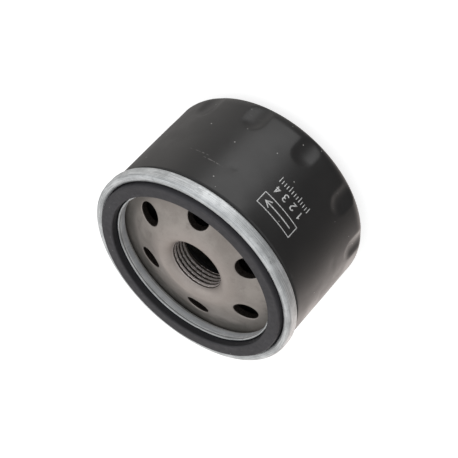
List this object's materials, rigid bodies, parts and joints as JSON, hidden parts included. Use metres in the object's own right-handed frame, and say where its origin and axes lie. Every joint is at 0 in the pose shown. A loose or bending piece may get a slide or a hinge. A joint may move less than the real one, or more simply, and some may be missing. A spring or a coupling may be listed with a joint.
{
  "type": "spin-on oil filter",
  "caption": "Short black spin-on oil filter with a plated rolled seam, flat rubber gasket, threaded hub ringed by oil holes, and wrench flutes at the closed end.",
  "frame": {"origin": "centre of the closed end's resting plane", "axes": "+Z along the thread's axis, out of the threaded end; +X through the middle of one oil hole"},
  "size_m": [0.0778, 0.0778, 0.05],
  "materials": {
    "can_paint": "satin black paint",
    "zinc_plate": "bright zinc plate",
    "plate_steel": "oiled bare steel",
    "gasket_rubber": "matt nitrile",
    "valve_rubber": "smooth nitrile",
    "sealant": "cured lining compound",
    "tinplate": "tinned sheet",
    "spring_steel": "blued spring steel",
    "adhesive": "cured plastisol",
    "filter_paper": "resin-stiffened paper"
  },
  "bodies": {
    "filter": {"can_shell": "can_paint", "seaming_lid": "zinc_plate", "seam_sealant": "sealant", "sealing_gasket": "gasket_rubber", "tapping_plate": "plate_steel", "weld_projections": "plate_steel", "drainback_diaphragm": "valve_rubber", "upper_end_cap": "tinplate", "lower_end_cap": "tinplate", "upper_bond": "adhesive", "lower_bond": "adhesive", "centre_tube": "tinplate", "pleated_media": "filter_paper", "pleat_clip": "tinplate", "bypass_seal": "valve_rubber", "bypass_cage": "tinplate", "bypass_spring": "spring_steel", "support_spring": "spring_steel"},
    "drainback_valve": {"drainback_lip": "valve_rubber"},
    "bypass_poppet": {"bypass_disc": "tinplate", "bypass_stem": "tinplate"}
  },
  "joints": [
    {"name": "bypass_lift", "type": "slide", "parent": "filter", "child": "bypass_poppet", "axis": [0, 0, 1], "range_m": [0, 0.003], "stiffness_N_per_m": 2000, "springref_m": -0.0065, "deforming": ["bypass_spring"]},
    {"name": "drainback_open", "type": "slide", "parent": "filter", "child": "drainback_valve", "axis": [0, 0, -1], "range_m": [0, 0.0012], "stiffness_N_per_m": 200, "springref_m": -0.0005, "deforming": ["drainback_diaphragm"]}
  ]
}
